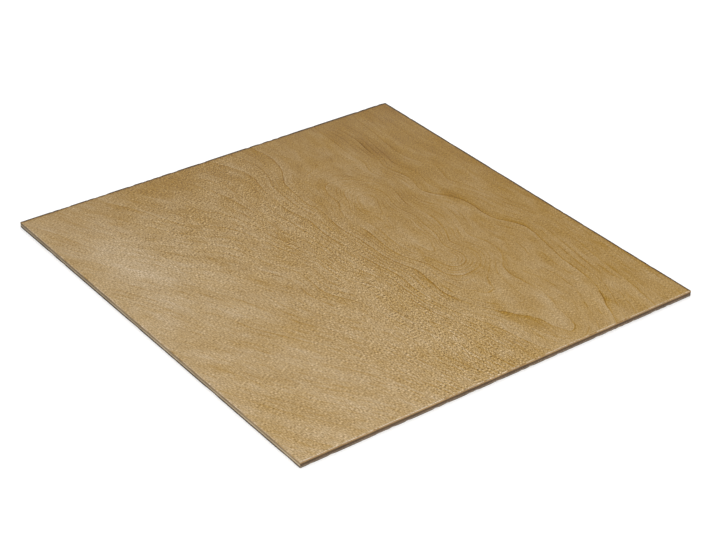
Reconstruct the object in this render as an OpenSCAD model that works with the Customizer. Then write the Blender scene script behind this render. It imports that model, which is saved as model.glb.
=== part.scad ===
// Three-ply plywood sheet, sawn square.
// It lies flat with its show face up. The face grain runs along Y and the core grain along X.
// The origin is the centre of the back face, and the veneers are stacked upwards from there.

/* [Sheet] */
// Width of the sheet, across the face grain
sheet_w = 300; // [100:1:600]
// Length of the sheet, along the face grain
sheet_l = 310; // [100:1:600]
// Width of the flat that sanding leaves where each outer face meets the sawn edges
arris = 0.2; // [0.05:0.05:0.5]

/* [Veneers] */
// Thickness of the face veneer
face_t = 1.3; // [0.8:0.05:2.5]
// Thickness of the crossband core veneer
core_t = 1.4; // [0.8:0.05:3.5]
// Thickness of the back veneer
back_t = 1.3; // [0.8:0.05:2.5]

/* [Hidden] */

// Height of the lower glue line, between the back and the core
lower_glue_z = back_t;
// Height of the upper glue line, between the core and the face
upper_glue_z = lower_glue_z + core_t;

// Cross-section of an outer veneer: square at its glue line (y = 0), eased at its outer face
module eased_section(span, thickness) {
    half = span / 2;
    polygon([
        [-half, 0],
        [half, 0],
        [half, thickness - arris],
        [half - arris, thickness],
        [arris - half, thickness],
        [-half, thickness - arris]
    ]);
}

// Outer veneer standing on its glue line, with the edges of its outer face eased all round
module outer_veneer(thickness) {
    intersection() {
        rotate([90, 0, 0])
            linear_extrude(height = sheet_l, center = true)
                eased_section(sheet_w, thickness);
        rotate([90, 0, 90])
            linear_extrude(height = sheet_w, center = true)
                eased_section(sheet_l, thickness);
    }
}

// Show veneer, grain along Y, on top of the core
module face_veneer() {
    color("#AA8E60")
        translate([0, 0, upper_glue_z])
            outer_veneer(face_t);
}

// Crossband, grain along X, with its edges left square between the outer veneers
module core_veneer() {
    color("#CFBB95")
        translate([-sheet_w / 2, -sheet_l / 2, lower_glue_z])
            cube([sheet_w, sheet_l, core_t]);
}

// Back veneer, grain along Y, turned over so that its eased face lies underneath
module back_veneer() {
    color("#B79A6B")
        translate([0, 0, lower_glue_z])
            mirror([0, 0, 1])
                outer_veneer(back_t);
}

face_veneer();
core_veneer();
back_veneer();
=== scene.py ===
"""Looks for a sheet of thin birch plywood: three rotary-cut veneers, sanded, with sawn edges."""
import math
from collections import namedtuple

import bpy
import numpy as np
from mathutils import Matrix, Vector


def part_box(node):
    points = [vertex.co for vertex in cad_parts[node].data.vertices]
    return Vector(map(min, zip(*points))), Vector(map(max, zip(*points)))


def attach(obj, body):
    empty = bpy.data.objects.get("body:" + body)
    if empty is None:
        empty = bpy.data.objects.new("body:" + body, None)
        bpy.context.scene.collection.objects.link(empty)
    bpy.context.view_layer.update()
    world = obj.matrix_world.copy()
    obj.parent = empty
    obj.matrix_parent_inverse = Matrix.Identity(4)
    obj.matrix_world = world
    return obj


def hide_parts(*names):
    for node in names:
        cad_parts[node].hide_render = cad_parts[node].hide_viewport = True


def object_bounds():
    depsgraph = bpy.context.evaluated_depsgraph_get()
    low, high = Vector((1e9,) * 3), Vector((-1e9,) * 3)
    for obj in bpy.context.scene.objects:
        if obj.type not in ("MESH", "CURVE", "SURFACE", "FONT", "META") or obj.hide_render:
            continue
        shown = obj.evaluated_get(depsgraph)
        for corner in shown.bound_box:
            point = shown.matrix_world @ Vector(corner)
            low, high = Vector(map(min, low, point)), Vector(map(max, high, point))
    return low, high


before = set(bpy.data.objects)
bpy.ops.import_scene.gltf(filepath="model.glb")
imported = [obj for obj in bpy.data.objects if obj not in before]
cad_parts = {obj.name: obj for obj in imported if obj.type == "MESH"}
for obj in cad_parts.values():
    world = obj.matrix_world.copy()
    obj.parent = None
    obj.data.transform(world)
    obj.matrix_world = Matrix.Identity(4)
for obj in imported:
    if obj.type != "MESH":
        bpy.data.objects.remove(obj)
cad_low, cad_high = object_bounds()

MM = 0.001
SEED = 41

# The sheet's own measures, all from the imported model
WIDTH = cad_high.x - cad_low.x
LENGTH = cad_high.y - cad_low.y
TOP = cad_high.z
# Half of its width and of its length, in mm
HALF_X = WIDTH / 2 / MM
HALF_Y = LENGTH / 2 / MM
LOWER_GLUE, UPPER_GLUE = (corner.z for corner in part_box("core_veneer"))

# Mesh pitch on the faces, fine enough for the figure and the nicks
PITCH = 1.1 * MM
# Width of the row of cells along each side of a face
SIDE_CELL = 0.4 * MM
# Rows of points down each sawn edge
EDGE_ROWS = 4
# Radius that sanding leaves on the outer arrises
ARRIS = 0.2 * MM
# How far the saw cut lies inside the nominal size, how far it wanders from that, and the length
# of its longest waves
SAW_MEAN = 0.015 * MM
SAW_WANDER = 0.008 * MM
SAW_WAVE = 60 * MM
# How much further the softer core stands back from the outer veneers
CORE_SETBACK = 0.04 * MM
# Height that latewood keeps over earlywood after sanding
RAISED_GRAIN = 0.02 * MM
# What a chip takes off, as shares of its depth: inwards and downwards at the rim of the face, and
# downwards on the edge below it
RIM_CHIP_IN = 0.8
RIM_CHIP_DOWN = 0.6
EDGE_CHIP_DOWN = 0.5
# Depth of splintering that shows a full patch of torn wood
DEEP_TEAR = 0.25 * MM
# How the margins of a face differ in tone from its middle, as (outward x and y of the side, step in
# tone, reach in mm): a painted highlight along the arrises of the -X and -Y sides, and darker along
# the +X and +Y sides
MARGIN_HIGHLIGHTS_AND_DARKS = (
    ((-1, 0), 0.3, 0.4), ((0, -1), 0.75, 0.4), ((1, 0), -0.9, 1.0), ((0, 1), -0.8, 1.3),
)

# Growth lines of the show face, as (ring level, how strongly the line shows, points in mm from
# the sheet's centre). The levels rise to a ridge where the knife ran tangent to the rings, which
# closes the ovals.
GROWTH_LINES = (
    (-9, 0.2, ((-125, -41), (-113, -70), (-101, -96), (-78, -129), (-67, -155))),
    (-7, 0.2, ((-146, 75), (-117, 21), (-110, 0), (-96, -34), (-80, -62), (-55, -106), (-42, -155))),
    (-5, 0.2, ((-125, 92), (-92, 46), (-72, 23), (-58, -5), (-42, -65), (-30, -116), (-18, -155))),
    (-4, 0.35, ((-112, 125), (-88, 85), (-68, 61), (-56, 49), (-47, 20), (-38, -26), (-26, -60),
                (-6, -155))),
    (-3, 0.35, ((-94, 150), (-65, 93), (-43, 70), (-35, 49), (-20, 3), (-6, -52), (0, -103), (6, -155))),
    (-2, 0.3, ((-40, 150), (-23, 108), (-19, 83), (-17, 46), (-10, 0), (0, -52), (9, -103), (18, -155))),
    (-1, 0.5, ((-3, 150), (7, 114), (2, 85), (5, 50), (6, 0), (10, -52), (16, -96), (35, -155))),
    (0, 0.75, ((30, 155), (20, 98), (17, 65), (16, 26), (18, -5), (22, -70), (36, -103), (50, -124),
               (58, -145))),
    (1, 0.9, ((28, 16), (36, -39), (51, -59), (64, -23), (71, 26), (65, 72), (55, 81), (35, 57))),
    (2, 0.35, ((36, 30), (35, 5), (40, -30), (50, -50), (58, -25), (64, 5), (65, 40), (59, 66), (50, 69),
               (41, 55))),
    (3, 0.2, ((42, 40), (41, 5), (45, -25), (50, -38), (55, -15), (58, 15), (58, 45), (53, 58), (47, 53))),
    (0, 0.4, ((85, 155), (83, 125), (82, 90), (85, 50), (89, 14), (82, -31), (73, -65), (70, -120))),
    (-1, 1.0, ((92, 155), (95, 103), (90, 80), (91, 44), (105, 15), (106, -12), (117, -36), (112, -70),
               (108, -108), (95, -137), (86, -155))),
    (-2, 0.3, ((119, 155), (120, 60), (124, 10), (134, -40), (128, -100), (120, -155))),
    (-3, 0.2, ((136, 155), (138, 60), (143, 0), (149, -50), (146, -120), (142, -155))),
)
# Saddles and crests of the ring surface between those lines: (x, y, level), in mm
SADDLES = (
    (52, -80, 0.5), (50, 104, 0.5), (62, -152, -0.2), (66, 128, 0.6), (50, 145, 0.4), (50, 42, 3.15),
    (49, 15, 3.15), (49, -10, 3.15),
)
# How far the fibres at the -X side of the show face lean from Y towards -X
LEAN = math.radians(27)
# Soft patches of tone on both faces, as (x, y, reach across, reach along, step): in mm, lighter
# where step is above 0
PATCHES = (
    (-111, 56, 26, 26, 0.5), (-120, 93, 24, 24, 0.4), (-81, -15, 22, 22, 0.25),
    (-5, -130, 26, 20, -0.25), (-132, 10, 22, 22, 0.25), (-138, -118, 26, 26, -0.35),
    (-84, -46, 20, 20, -0.3), (-51, 143, 30, 16, -0.5), (38, -107, 3, 12, -0.4),
    (47, -122, 3, 10, -0.4), (101, 95, 8, 30, -0.4), (103, 22, 5, 10, -0.6),
    (114, -28, 5, 14, -0.4), (45, -8, 4, 6, 0.3), (98, 8, 6, 12, 0.3), (75, 78, 26, 26, 0.15),
)
# Birch from the brown of its latewood to the grey cream of its palest earlywood
BIRCH = ("#43331F", "#7C5822", "#967435", "#AC9062", "#C1AB8B", "#D4C6B2")

# Fibres seen from the side are long, and seen from their ends they are dots: sizes along X, Y and
# Z, in mm, on the edges that face X and on those that face Y
LONG_ON_X = (0.6, 10, 0.4)
LONG_ON_Y = (10, 0.6, 0.4)
ENDS = (0.6, 0.6, 0.4)

# Where the camera stands and the point it looks at, in degrees and metres, and its lens in mm
CAMERA_AZIMUTH = -38.22
CAMERA_ELEVATION = 32.09
CAMERA_ROLL = 1.77
CAMERA_DISTANCE = 1.2
CAMERA_TARGET = (-5.7 * MM, -17.05 * MM)
CAMERA_LENS = 96.1

Rim = namedtuple("Rim", "index place outward at crosses_grain")


def linear(hex_colour):
    """An sRGB hex colour as linear red, green, blue and alpha."""
    srgb = [int(hex_colour[i:i + 2], 16) / 255 for i in (1, 3, 5)]
    return [c / 12.92 if c <= 0.04045 else ((c + 0.055) / 1.055) ** 2.4 for c in srgb] + [1.0]


def add(tree, kind, inputs=None, out=0, **settings):
    """Add one node, set its properties, fill or link its inputs, and return one of its outputs."""
    made = tree.nodes.new(kind)
    for setting, value in settings.items():
        setattr(made, setting, value)
    for key, value in (inputs or {}).items():
        if isinstance(value, bpy.types.NodeSocket):
            tree.links.new(value, made.inputs[key])
        else:
            made.inputs[key].default_value = value
    return made.outputs[out]


# ---- The figure of the wood, as numbers over the sheet


def bend(r):
    """The thin plate's own curve: r squared times the logarithm of r, and nothing at r = 0."""
    return np.where(r > 0, r * r * np.log(np.maximum(r, 1e-9)), 0.0)


def plate(known, x, y):
    """The height at x, y of a thin springy plate laid over the known points (x, y, height).

    It is a sum of r squared log r about each known point, plus a tilted plane, with the
    weights solved for so that the plate passes within a hair of every point.
    """
    known = np.array(known, float)
    size, give = 100.0, 1e-3
    place = known[:, :2] / size
    apart = np.hypot(place[:, None, 0] - place[None, :, 0], place[:, None, 1] - place[None, :, 1])
    plane = np.column_stack((np.ones(len(place)), place))
    system = np.block([[bend(apart) + give * np.eye(len(place)), plane], [plane.T, np.zeros((3, 3))]])
    weights = np.linalg.solve(system, np.concatenate((known[:, 2], np.zeros(3))))
    height = weights[-3] + weights[-2] * x / size + weights[-1] * y / size
    for (px, py), weight in zip(place, weights):
        height = height + weight * bend(np.hypot(x / size - px, y / size - py))
    return height


def face_rings(x, y):
    """The show face's ring level at x, y in mm: the plate laid over its growth lines."""
    known = [(px, py, level) for level, _, line in GROWTH_LINES for px, py in line]
    return plate(known + list(SADDLES), x, y)


def face_slant(x, y):
    """How much of the full lean the show face's fibres have: all of it at -X, and none at +X."""
    return 0.5 - 0.5 * np.tanh((x + 30) / 28)


def back_rings(x, y):
    """The back's ring level at x, y in mm: long waves across the sheet that drift along it."""
    return 3.6 * np.sin(x / 46 + 0.5 * np.sin(y / 80)) + 0.9 * np.cos(y / 70 + x / 90)


def no_slant(x, y):
    """The back's fibres all run straight along Y."""
    return np.zeros_like(x)


def line_strength(x, y):
    """How strongly the nearest growth lines show at x, y in mm.

    It is the mean of the lines' strengths, each taken at 25 places along its line and
    weighted there by one over the fourth power of the distance, which is softened by 4 mm so
    that no place makes a spike.
    """
    places, softening = 25, 4.0
    total, weights = np.zeros_like(x), np.zeros_like(x)
    for _, strength, line in GROWTH_LINES:
        stops = np.arange(len(line))
        spread = np.linspace(0, len(line) - 1, places)
        for px, py in zip(*(np.interp(spread, stops, ordinate) for ordinate in zip(*line))):
            weight = 1 / ((x - px) ** 2 + (y - py) ** 2 + softening ** 2) ** 2
            total, weights = total + strength * weight, weights + weight
    return total / weights


def back_strength(x, y):
    """How strongly the back's growth lines show: half as much as the boldest, all over."""
    return np.full_like(x, 0.5)


def tone_and_painted_light_map(x, y):
    """How light the wood is at x, y in mm, from -1 to 1: a steady fall from the corner at -X, -Y
    to the one at +X, +Y, with soft oval patches on it. The steady fall is partly painted light,
    brightest towards the -X, -Y corner, and partly the veneer's own drift in tone."""
    tone = -0.5 * (x / HALF_X + y / HALF_Y)
    for px, py, across, along, step in PATCHES:
        tone = tone + step * np.exp(-((x - px) / across) ** 2 - ((y - py) / along) ** 2)
    return tone


def nap_map(x, y):
    """How rough the sanded fibres are at x, y in mm: a bell curve across the sheet, highest 20 mm
    to the -X side of the middle, and a lower one near the -X side. Both fall by three tenths from
    -Y to +Y, and a rough oval patch lies towards -X, +Y."""
    across = 0.37 + 0.67 * np.exp(-((x + 20) / 45) ** 2) + 0.15 * np.exp(-((x + 130) / 60) ** 2)
    patch = 0.3 * np.exp(-((x + 75) / 50) ** 2 - ((y - 80) / 55) ** 2)
    return across * (1 - 0.17 * y / HALF_Y) + patch


def warmth_and_painted_sheen_map(x, y):
    """How saturated the wood's colour is at x, y in mm, about 1: more orange towards +X and -Y,
    with a soft oval patch for each patch of tone, greyer where that is lighter. The greying towards
    -X and +Y is partly a painted sheen and partly the veneer's own colour."""
    warmth = 0.985 + 0.03 * x / HALF_X - 0.05 * y / HALF_Y
    for px, py, across, along, step in PATCHES:
        warmth = warmth - 0.10 * step * np.exp(-((x - px) / across) ** 2 - ((y - py) / along) ** 2)
    return warmth


def margin_highlight_and_dark_map(x, y):
    """The step in tone close to the sides of the sheet, at x, y in mm: a bell curve of the distance
    from each side. It is a painted highlight along the -X and -Y arrises, and darker along the +X
    and +Y sides."""
    total = np.zeros_like(x)
    for (out_x, out_y), step, reach in MARGIN_HIGHLIGHTS_AND_DARKS:
        inside = abs(out_x) * HALF_X + abs(out_y) * HALF_Y - out_x * x - out_y * y
        total += step * np.exp(-(np.maximum(inside, 0) / reach) ** 2)
    return total


def wander(position, rng, longest, size, octaves=4):
    """A smooth random line: a sum of sines, each about half as long and half as high as the last."""
    total = np.zeros_like(position)
    for octave in range(octaves):
        phase, stretch = rng.uniform(0, 2 * np.pi), rng.uniform(0.8, 1.2)
        total += size / 2 ** octave * np.sin(2 * np.pi * position * 2 ** octave * stretch / longest + phase)
    return total


# ---- The veneers, as meshes


def face_grid():
    """The x and y of a grid over the flat of a face, inside its eased arrises, with a narrow row
    of cells along each side."""
    ordinates = []
    for half in (WIDTH / 2 - ARRIS, LENGTH / 2 - ARRIS):
        inner = half - SIDE_CELL
        evenly = np.linspace(-inner, inner, round(2 * inner / PITCH) + 1)
        ordinates.append(np.concatenate(((-half,), evenly, (half,))))
    return np.meshgrid(*ordinates)


def rim_of(x, y):
    """The border of a grid, anticlockwise from its low corner.

    It holds each border point's number and place, the step that leads outwards from it, its
    distance round the rim, and whether its edge crosses the grain.
    """
    ny, nx = x.shape
    low_x, high_x = np.zeros(ny - 1, int), np.full(ny - 1, nx - 1)
    low_y, high_y = np.zeros(nx - 1, int), np.full(nx - 1, ny - 1)
    i = np.concatenate((np.arange(nx - 1), high_x, np.arange(nx - 1, 0, -1), low_x))
    j = np.concatenate((low_y, np.arange(ny - 1), high_y, np.arange(ny - 1, 0, -1)))
    outward = np.column_stack(((i == nx - 1) * 1.0 - (i == 0), (j == ny - 1) * 1.0 - (j == 0)))
    place = np.column_stack((x[j, i], y[j, i]))
    steps = np.linalg.norm(np.diff(place, axis=0), axis=1)
    at = np.concatenate(([0.0], np.cumsum(steps)))
    return Rim(j * nx + i, place, outward, at, outward[:, 1] != 0)


def chips(rim, rng):
    """Depth of the splinters that the saw broke out of an arris, round the rim.

    Each chip is a bell curve along the edge. The edges that cross the grain break in short
    deep chips, and the others lift in long shallow slivers.
    """
    depth = np.zeros_like(rim.at)
    for crosses, apart, long, deep in (
        (True, 6 * MM, 1.3 * MM, 0.5 * MM),
        (False, 12 * MM, 3 * MM, 0.22 * MM),
    ):
        count = int(rim.at[-1] / apart)
        centre = rng.uniform(0, rim.at[-1], count)
        reach = long * rng.uniform(0.5, 1.8, count)
        size = deep * rng.uniform(0.1, 1.0, count) ** 2
        bells = size * np.exp(-((rim.at[:, None] - centre) / reach) ** 2)
        depth += np.where(rim.crosses_grain == crosses, bells.max(1), 0.0)
    return depth


def eased_profile(thickness):
    """The edge of an outer veneer from its arris to its glue line, a row for each ring of points.

    It is a quarter circle round the arris and then a straight drop. A row says how far out
    and how far down its ring lies, and what share of a chip's depth it takes.
    """
    turn = np.radians((30, 60, 90))
    drops = np.linspace(ARRIS, thickness, EDGE_ROWS + 1)[1:]
    out = np.concatenate((ARRIS * np.sin(turn), np.full(EDGE_ROWS, ARRIS)))
    down = np.concatenate((ARRIS * (1 - np.cos(turn)), drops))
    share = np.concatenate(((1.0, 0.9, 0.8), np.linspace(0.5, 0.0, EDGE_ROWS)))
    return np.column_stack((out, down, share))


def square_profile(thickness):
    """The edge of the core, straight from glue line to glue line, and sheltered from chips."""
    down = np.linspace(0, thickness, EDGE_ROWS + 1)
    return np.column_stack((np.full_like(down, ARRIS), down, np.zeros_like(down)))


def edge_rings(rim, profile, start, down, saw, broken):
    """Rings of points down a sawn edge: the rim carried down the profile.

    A ring stands out by the profile's reach, less the waviness of the saw cut, and a chip
    takes its share off the reach and half as much off the height.
    """
    out, drop, share = profile.T[:, :, None]
    reach = out - saw * out / ARRIS - share * broken
    place = rim.place + rim.outward * reach[..., None]
    height = start - down * (drop + EDGE_CHIP_DOWN * share * broken)
    return np.dstack((place, height))


def grid_quads(shape):
    """The quads of a grid of points, numbered row by row, facing up."""
    ny, nx = shape
    low = (np.arange(ny - 1)[:, None] * nx + np.arange(nx - 1)).ravel()
    return np.column_stack((low, low + 1, low + nx + 1, low + nx))


def band_quads(rings):
    """The quads between each ring of point numbers and the next one, facing outwards."""
    upper, lower = rings[:-1], rings[1:]
    quads = np.stack((upper, lower, np.roll(lower, -1, 1), np.roll(upper, -1, 1)), -1)
    return quads.reshape(-1, 4)


def fan(ring, hub):
    """The triangles from a ring of point numbers to one hub, facing down for a ring seen from above."""
    return np.column_stack((np.full(len(ring), hub), np.roll(ring, -1), ring))


def make_piece(name, points, quads, triangles, upside_down=False):
    """A mesh object in the scene, its faces sorted into three material slots.

    Slot 0 is the face of the veneer, slot 1 the edges that face along X, and slot 2 those
    that face along Y.
    """
    if upside_down:
        quads, triangles = quads[:, ::-1], triangles[:, ::-1]
    mesh = bpy.data.meshes.new(name)
    mesh.from_pydata(points.tolist(), [], quads.tolist() + triangles.tolist())
    mesh.update()
    normals = np.zeros(len(mesh.polygons) * 3)
    mesh.polygons.foreach_get("normal", normals)
    along_x, along_y, upright = np.abs(normals.reshape(-1, 3)).T
    lies_flat = 0.75
    slots = np.where(upright > lies_flat, 0, np.where(along_x > along_y, 1, 2))
    mesh.polygons.foreach_set("material_index", slots.astype(np.int32))
    mesh.polygons.foreach_set("use_smooth", np.ones(len(mesh.polygons), bool))
    mesh.set_sharp_from_angle(angle=math.radians(40))
    piece = bpy.data.objects.new(name, mesh)
    bpy.context.scene.collection.objects.link(piece)
    return piece


def note(piece, attribute_name, values):
    """Store one number for each point of the piece, for its material to read."""
    attribute = piece.data.attributes.new(attribute_name, "FLOAT", "POINT")
    attribute.data.foreach_set("value", np.asarray(values, np.float32))


def note_figure(piece, points, rings, slant, strength, torn):
    """Store on a veneer what its material reads at each point.

    The distance between whole ring levels, in mm, is one over the slope of the ring surface,
    which is taken half a millimetre to each side of the point.
    """
    x, y = points[:, 0] / MM, points[:, 1] / MM
    step, flattest = 0.5, 0.02
    slope_x = (rings(x + step, y) - rings(x - step, y)) / (2 * step)
    slope_y = (rings(x, y + step) - rings(x, y - step)) / (2 * step)
    note(piece, "rings", rings(x, y))
    note(piece, "spacing", 1 / np.maximum(np.hypot(slope_x, slope_y), flattest))
    note(piece, "slant", slant(x, y))
    note(piece, "strength", strength(x, y))
    note(piece, "tone", tone_and_painted_light_map(x, y))
    note(piece, "nap", nap_map(x, y))
    note(piece, "warmth", warmth_and_painted_sheen_map(x, y))
    note(piece, "margin_highlight_and_dark", margin_highlight_and_dark_map(x, y))
    note(piece, "torn", torn)


def outer_veneer(name, face_z, glue_z, rings, slant, strength, seed):
    """A face or back veneer: a closed sheet between its outer face and its glue line.

    The outer face is a grid, lower by the raised grain's height where the wood is soft, which is
    everywhere but in the last part of each ring. Its border is carried down the eased profile,
    and a fan from one hub closes the glued side.
    """
    rng = np.random.default_rng(SEED + seed)
    down = 1.0 if face_z > glue_z else -1.0
    x, y = face_grid()
    rim = rim_of(x, y)
    saw = SAW_MEAN + wander(rim.at, rng, SAW_WAVE, SAW_WANDER)
    broken = chips(rim, rng)
    latewood = np.mod(rings(x / MM, y / MM), 1.0) ** 5
    face = np.dstack((x, y, face_z - down * RAISED_GRAIN * (1 - latewood))).reshape(-1, 3)
    face[rim.index, :2] -= rim.outward * RIM_CHIP_IN * broken[:, None]
    face[rim.index, 2] -= down * RIM_CHIP_DOWN * broken
    profile = eased_profile(abs(face_z - glue_z))
    edge = edge_rings(rim, profile, face_z, down, saw, broken)
    points = np.vstack((face, edge.reshape(-1, 3), (0, 0, glue_z)))
    numbers = len(face) + np.arange(edge[..., 0].size).reshape(edge.shape[:2])
    quads = np.vstack((grid_quads(x.shape), band_quads(np.vstack((rim.index, numbers)))))
    piece = make_piece(name, points, quads, fan(numbers[-1], len(points) - 1), down < 0)

    tear = np.zeros(len(points))
    tear[rim.index] = broken
    tear[numbers] = profile[:, 2][:, None] * broken
    note_figure(piece, points, rings, slant, strength, np.minimum(tear / DEEP_TEAR, 1))
    return piece


def core_veneer(name, low, high, seed):
    """The core: a closed band round the rim, straight from glue line to glue line, with a fan
    from one hub over each glued side."""
    rng = np.random.default_rng(SEED + seed)
    rim = rim_of(*face_grid())
    saw = SAW_MEAN + CORE_SETBACK + wander(rim.at, rng, SAW_WAVE, SAW_WANDER)
    edge = edge_rings(rim, square_profile(high - low), high, 1.0, saw, np.zeros_like(rim.at))
    points = np.vstack((edge.reshape(-1, 3), (0, 0, low), (0, 0, high)))
    numbers = np.arange(edge[..., 0].size).reshape(edge.shape[:2])
    lower, upper = fan(numbers[-1], len(points) - 2), fan(numbers[0], len(points) - 1)
    return make_piece(name, points, band_quads(numbers), np.vstack((lower, upper[:, ::-1])))


# ---- The finishes


def layered(tree, base, layers):
    """base plus each layer: (source, amount, the source's value that leaves the base as it is)."""
    for source, amount, rest in layers:
        change = source
        if rest:
            change = add(tree, "ShaderNodeMath", {0: source, 1: rest}, operation="SUBTRACT")
        base = add(tree, "ShaderNodeMath", {0: change, 1: amount, 2: base}, operation="MULTIPLY_ADD")
    return base


def mottled(tree, place, size, detail=2.0):
    """Random light and dark between 0 and 1, in patches of the given size in mm along X, Y and Z."""
    cells = add(tree, "ShaderNodeVectorMath", {0: place, 1: size}, operation="DIVIDE")
    return add(tree, "ShaderNodeTexNoise", {"Vector": cells, "Scale": 1.0, "Detail": detail,
                                            "Roughness": 0.55})


def fibrous(tree, place, slant, size, detail):
    """Mottling stretched along the grain, which runs along Y where slant is 0, and at the full lean
    where slant is 1."""
    straight = mottled(tree, place, size, detail)
    turned = add(tree, "ShaderNodeVectorRotate", {"Vector": place, "Angle": -LEAN}, rotation_type="Z_AXIS")
    leaning = mottled(tree, turned, size, detail)
    return add(tree, "ShaderNodeMix", {0: slant, 2: straight, 3: leaning})


def place_in_mm(tree):
    """Where a point lies on the sheet, in mm."""
    place = add(tree, "ShaderNodeTexCoord", out="Object")
    return add(tree, "ShaderNodeVectorMath", {0: place, "Scale": 1 / MM}, operation="SCALE")


def growth_line(tree, level, spacing, soft):
    """1 on each whole ring level, falling to 0 within soft mm on either side of it."""
    past = add(tree, "ShaderNodeMath", {0: level, 1: 0.5}, operation="ADD")
    past = add(tree, "ShaderNodeMath", {0: past}, operation="FRACT")
    past = add(tree, "ShaderNodeMath", {0: past, 1: 0.5}, operation="SUBTRACT")
    distance = add(tree, "ShaderNodeMath", {0: past, 1: spacing}, operation="MULTIPLY")
    distance = add(tree, "ShaderNodeMath", {0: distance}, operation="ABSOLUTE")
    return add(tree, "ShaderNodeMapRange", {"Value": distance, "From Min": 0.0, "From Max": soft,
                                            "To Min": 1.0, "To Max": 0.0}, interpolation_type="SMOOTHSTEP")


def line_stretches(tree, place, nap, strength):
    """How strongly the main growth lines show, and the fine ones between them.

    The main lines show strongly for 18 to 45 mm at a time and then fade. The fine ones show
    for 7 to 22 mm, most where the wood is rough or boldly figured.
    """
    stretch = mottled(tree, place, (18, 45, 18))
    bold = add(tree, "ShaderNodeMapRange", {"Value": stretch, "From Min": 0.38, "From Max": 0.62,
                                            "To Min": 0.2, "To Max": 1.0})
    bold = add(tree, "ShaderNodeMath", {0: bold, 1: strength}, operation="MULTIPLY")
    stretch = mottled(tree, place, (7, 22, 7))
    fine = add(tree, "ShaderNodeMapRange", {"Value": stretch, "From Min": 0.42, "From Max": 0.62})
    drawn = add(tree, "ShaderNodeMath", {0: nap, 1: strength}, operation="ADD")
    fine = add(tree, "ShaderNodeMath", {0: fine, 1: drawn}, operation="MULTIPLY")
    return bold, fine


def ring_figure(tree, place, base, warmth, nap):
    """base and warmth with the growth rings drawn on them.

    Each ring ends in a fine brown line, with an orange shade on its late side and cream on its
    early side. Finer lines lie between, and streaks follow them all.
    """
    rings, spacing, strength = (
        add(tree, "ShaderNodeAttribute", out="Fac", attribute_name=held)
        for held in ("rings", "spacing", "strength")
    )
    # The rings waver by up to a millimetre or so, in waves 8 to 15 mm long
    waver = mottled(tree, place, (7.5, 15, 7.5), 3.0)
    level = layered(tree, rings, ((waver, 0.12, 0.5),))
    season = add(tree, "ShaderNodeMath", {0: level}, operation="FRACT")
    late = add(tree, "ShaderNodeMath", {0: season, 1: 7.0}, operation="POWER")
    early = add(tree, "ShaderNodeMath", {0: 1.0, 1: season}, operation="SUBTRACT")
    early = add(tree, "ShaderNodeMath", {0: early, 1: 6.0}, operation="POWER")
    bold, fine = line_stretches(tree, place, nap, strength)
    # Lines at whole levels, at halves and at quarters: (lines to a ring, half width in mm, how
    # strongly they show, step in tone, step in warmth)
    for count, soft, shown, tone_step, warmth_step in (
        (1, 0.8, bold, -0.13, 0.03),
        (2, 0.7, bold, -0.08, 0.03),
        (4, 0.6, fine, -0.10, 0.03),
    ):
        finer = add(tree, "ShaderNodeMath", {0: level, 1: count}, operation="MULTIPLY")
        apart = add(tree, "ShaderNodeMath", {0: spacing, 1: count}, operation="DIVIDE")
        line = growth_line(tree, finer, apart, soft)
        line = add(tree, "ShaderNodeMath", {0: line, 1: shown}, operation="MULTIPLY")
        base = layered(tree, base, ((line, tone_step, 0),))
        warmth = layered(tree, warmth, ((line, warmth_step, 0),))
    for source, tone_step, warmth_step in ((late, -0.07, 0.09), (early, 0.08, -0.03)):
        shade = add(tree, "ShaderNodeMath", {0: source, 1: bold}, operation="MULTIPLY")
        base = layered(tree, base, ((shade, tone_step, 0),))
        warmth = layered(tree, warmth, ((shade, warmth_step, 0),))
    # Streaks follow the rings, seven to a ring and 30 mm long
    along = add(tree, "ShaderNodeSeparateXYZ", {0: place}, out="Y")
    streak_place = add(tree, "ShaderNodeCombineXYZ", {"X": level, "Y": along})
    streak = mottled(tree, streak_place, (1 / 7, 30, 1), 3.0)
    return layered(tree, base, ((streak, 0.18, 0.5),)), warmth


def birch_colour(tree, figure, warmth, shade):
    """Birch from brown to cream as figure runs from 0 to 1, with its saturation multiplied by warmth
    and its lightness by shade."""
    ramp = add(tree, "ShaderNodeValToRGB", {"Fac": figure})
    stops = ramp.node.color_ramp.elements
    stops[0].color, stops[1].color = linear(BIRCH[0]), linear(BIRCH[-1])
    for k, colour in enumerate(BIRCH[1:-1], 1):
        stops.new(k / (len(BIRCH) - 1)).color = linear(colour)
    return add(tree, "ShaderNodeHueSaturation", {"Color": ramp, "Saturation": warmth, "Value": shade})


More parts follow.
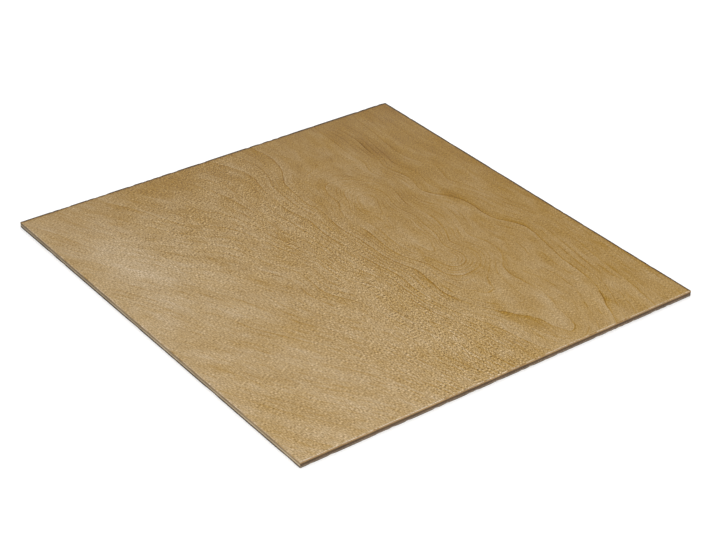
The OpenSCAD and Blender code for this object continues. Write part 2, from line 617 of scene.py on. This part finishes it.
def sanded_birch(name):
    """Rotary-cut birch veneer, sanded with about 120 grit: matt, with short fibres.

    It gives the eye warm light brown wood with fine brown growth lines, orange before each and
    cream after it, and a fleck of short fibres all over, which leans with the grain.
    """
    material = bpy.data.materials.new(name)
    material.use_nodes = True
    tree = material.node_tree
    wood = tree.nodes["Principled BSDF"]
    place = place_in_mm(tree)
    slant, tone, nap, warmth, margin_highlight_and_dark, torn = (
        add(tree, "ShaderNodeAttribute", out="Fac", attribute_name=held)
        for held in ("slant", "tone", "nap", "warmth", "margin_highlight_and_dark", "torn")
    )
    # Fibre ends torn by the sanding belt, about 0.1 mm wide, as its grit is. They are drawn 0.45 mm
    # by 1.4 mm so that they show.
    fleck = fibrous(tree, place, slant, (0.45, 1.4, 1), 0.0)
    # Fibres lifted in tufts 1.8 mm wide and 9 mm long: a bump, and painted light and shade in the
    # colour, dark on one side and pale on the other
    tufts = fibrous(tree, place, slant, (1.8, 9, 1), 2.0)
    # Cloudy light and dark in drifts 14 mm wide and 45 mm long
    cloud = fibrous(tree, place, slant, (14, 45, 1), 2.0)
    # Greyer and more orange wood, in drifts 12 mm wide and 24 mm long
    drift = fibrous(tree, place, slant, (12, 24, 1), 2.0)
    rough = add(tree, "ShaderNodeMath", {0: fleck, 1: 0.5}, operation="SUBTRACT")
    rough = add(tree, "ShaderNodeMath", {0: rough, 1: nap}, operation="MULTIPLY")
    lifted = add(tree, "ShaderNodeMath", {0: tufts, 1: 0.5}, operation="SUBTRACT")
    lifted = add(tree, "ShaderNodeMath", {0: lifted, 1: nap}, operation="MULTIPLY")
    # The tone is partly painted light, brighter towards the -X, -Y corner, as well as the wood's own tone
    figure = layered(tree, 0.5, ((tone, 0.16, 0),))
    # The warmth is partly a painted grey sheen towards -X and +Y, as well as the wood's own colour
    figure, warmth = ring_figure(tree, place, figure, warmth, nap)
    # The margins add a painted highlight along the -X and -Y arrises, and darken the +X and +Y sides
    figure = layered(tree, figure, (
        (cloud, 0.25, 0.5), (rough, 0.5, 0), (lifted, 0.42, 0), (margin_highlight_and_dark, 1.0, 0), (torn, -0.5, 0),
    ))
    warmth = layered(tree, warmth, ((cloud, -0.06, 0.5), (drift, 0.16, 0.5)))
    # The fleck is light and shade more than colour, so it also scales the colour as a whole
    shade = layered(tree, 1.0, ((rough, 2.4, 0),))
    tree.links.new(birch_colour(tree, figure, warmth, shade), wood.inputs["Base Color"])
    height = layered(tree, rough, ((lifted, 1.0, 0),))
    bump = add(tree, "ShaderNodeBump", {"Height": height, "Distance": 0.08 * MM, "Strength": 1.0})
    tree.links.new(bump, wood.inputs["Normal"])
    wood.inputs["Roughness"].default_value = 0.62
    wood.inputs["IOR"].default_value = 1.5
    wood.inputs["Specular IOR Level"].default_value = 0.3
    return material


def edge_light(tree, place):
    """How much light the sawn edge gives back, as a share of its own colour's.

    It is 1, times a fall to darkest at each glue line, and at the floor as painted shade, straight
    over the reach in mm, times a painted fall of light, lighter at the -Y end of the sheet and darker
    at the +Y end.
    """
    up = add(tree, "ShaderNodeSeparateXYZ", {0: place}, out="Z")
    along = add(tree, "ShaderNodeSeparateXYZ", {0: place}, out="Y")
    light = 1.0
    # Real glue lines are about 0.1 mm thick. These fade over 0.35 to 0.5 mm to either side so that
    # they show. Painted shade darkens the lowest 1.1 mm, along the floor.
    for height, reach, darkest in ((LOWER_GLUE, 0.35, 0.3), (UPPER_GLUE, 0.5, 0.12), (0.0, 1.1, 0.06)):
        off = add(tree, "ShaderNodeMath", {0: up, 1: height / MM}, operation="SUBTRACT")
        off = add(tree, "ShaderNodeMath", {0: off}, operation="ABSOLUTE")
        clear = add(tree, "ShaderNodeMapRange", {"Value": off, "From Max": reach, "To Min": darkest})
        light = add(tree, "ShaderNodeMath", {0: light, 1: clear}, operation="MULTIPLY")
    # Painted light: the edges are lighter towards the -Y end of the sheet and darker towards the +Y end
    painted_light_fall = add(tree, "ShaderNodeMapRange", {"Value": along, "From Min": -HALF_Y, "From Max": HALF_Y,
                                               "To Min": 1.1, "To Max": 0.62})
    return add(tree, "ShaderNodeMath", {0: light, 1: painted_light_fall}, operation="MULTIPLY")


def sawn_edge(name, pale, brown, size):
    """The birch edge of one veneer where the saw passed: long fibres, or end grain dotted with pores.

    size is that of the fibres or pores, in mm. It gives the eye a duller, browner wood than
    the face, scorched in places, with upright saw marks and a dark glue line at each joint.
    """
    material = bpy.data.materials.new(name)
    material.use_nodes = True
    tree = material.node_tree
    wood = tree.nodes["Principled BSDF"]
    place = place_in_mm(tree)
    fibre = mottled(tree, place, size)
    # The saw scorched the wood in patches 22 mm long
    scorch = mottled(tree, place, (22, 22, 22))
    wear = layered(tree, fibre, ((scorch, 0.8, 0.5),))
    shade = add(tree, "ShaderNodeMapRange", {"Value": wear, "From Min": 0.3, "From Max": 0.7})
    tint = add(tree, "ShaderNodeMix", {0: shade, 6: linear(brown), 7: linear(pale)}, out=2,
               data_type="RGBA")
    tint = add(tree, "ShaderNodeVectorMath", {0: tint, "Scale": edge_light(tree, place)},
               operation="SCALE")
    tree.links.new(tint, wood.inputs["Base Color"])
    # Saw marks stand upright on the edge, 1.2 mm apart
    saw = mottled(tree, place, (1.2, 1.2, 16))
    bump = add(tree, "ShaderNodeBump", {"Height": saw, "Distance": 0.08 * MM, "Strength": 0.8})
    tree.links.new(bump, wood.inputs["Normal"])
    wood.inputs["Roughness"].default_value = 0.75
    wood.inputs["IOR"].default_value = 1.5
    return material


# ---- The camera and the studio


def aim(thing, target):
    """Turn a light or camera so that it looks at a point."""
    thing.rotation_euler = (Vector(target) - thing.location).to_track_quat("-Z", "Y").to_euler()


def softbox(name, place, size, power):
    """A round white light of the given size in metres and power in watts, aimed at the sheet."""
    light = bpy.data.lights.new(name, "AREA")
    light.shape = "DISK"
    light.size = size
    light.energy = power
    lamp = bpy.data.objects.new(name, light)
    bpy.context.scene.collection.objects.link(lamp)
    lamp.location = place
    aim(lamp, (0, 0, 0))


def make_camera():
    """The camera stands over the near corner, turned a little about its own line of sight."""
    lens = bpy.data.cameras.new("camera")
    lens.lens = CAMERA_LENS
    camera = bpy.data.objects.new("camera", lens)
    bpy.context.scene.collection.objects.link(camera)
    around, above = math.radians(CAMERA_AZIMUTH), math.radians(CAMERA_ELEVATION)
    back = Vector((math.sin(around), -math.cos(around), math.tan(above))) * math.cos(above)
    target = Vector((*CAMERA_TARGET, TOP))
    camera.location = target + back * CAMERA_DISTANCE
    aim(camera, target)
    camera.rotation_euler.rotate_axis("Z", math.radians(CAMERA_ROLL))
    bpy.context.scene.camera = camera


def white_card():
    """White card for the floor: matt, and glowing a little, which gives the eye a clean white
    with only a faint shadow on it."""
    card = bpy.data.materials.new("white_card_floor")
    card.use_nodes = True
    surface = card.node_tree.nodes["Principled BSDF"]
    surface.inputs["Base Color"].default_value = linear("#F4F4F4")
    surface.inputs["Roughness"].default_value = 0.9
    surface.inputs["Emission Color"].default_value = linear("#FFFFFF")
    surface.inputs["Emission Strength"].default_value = 0.2
    return card


def make_floor():
    """A plain floor, a hair below the sheet so that the two don't flicker into each other."""
    reach, drop = 30.0, 0.02 * MM
    corners = [(-reach, -reach, 0), (reach, -reach, 0), (reach, reach, 0), (-reach, reach, 0)]
    mesh = bpy.data.meshes.new("floor")
    mesh.from_pydata(corners, [], [(0, 1, 2, 3)])
    mesh.materials.append(white_card())
    floor = bpy.data.objects.new("floor", mesh)
    bpy.context.scene.collection.objects.link(floor)
    floor.location.z = -drop


def make_studio():
    """The floor, even light from all round, and two soft boxes."""
    make_floor()
    world = bpy.data.worlds.new("studio")
    world.use_nodes = True
    sky = world.node_tree.nodes["Background"]
    sky.inputs["Color"].default_value = linear("#FFFFFF")
    sky.inputs["Strength"].default_value = 0.75
    bpy.context.scene.world = world
    softbox("key", (-0.9, -0.6, 1.6), 1.2, 12)
    softbox("fill", (0.9, 0.8, 1.6), 1.6, 5)
    bpy.context.scene.view_settings.view_transform = "Standard"


make_camera()
make_studio()

face = outer_veneer("face_veneer_wood", TOP, UPPER_GLUE, face_rings, face_slant, line_strength, 1)
core = core_veneer("core_veneer_wood", LOWER_GLUE, UPPER_GLUE, 2)
back = outer_veneer("back_veneer_wood", 0.0, LOWER_GLUE, back_rings, no_slant, back_strength, 3)

# Each piece with the node it replaces, the finish of its face, and the pale and brown colours and
# fibres of its edges. The core shows no face, so its first slot has an edge finish.
for piece, node, finish, x_side, y_side in (
    (face, "face_veneer", sanded_birch("sanded_birch_face"),
     ("#A58A62", "#7E6540", LONG_ON_X), ("#B08D5C", "#86653A", ENDS)),
    (core, "core_veneer", None,
     ("#C4B08F", "#A08B69", ENDS), ("#6B5030", "#4A341B", LONG_ON_Y)),
    (back, "back_veneer", sanded_birch("sanded_birch_back"),
     ("#6E5C42", "#54422A", LONG_ON_X), ("#A08B72", "#7C6851", ENDS)),
):
    x_edge = sawn_edge(node + "_side_edge", *x_side)
    y_edge = sawn_edge(node + "_end_edge", *y_side)
    for material in (finish or x_edge, x_edge, y_edge):
        piece.data.materials.append(material)
    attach(piece, "root")
    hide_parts(node)
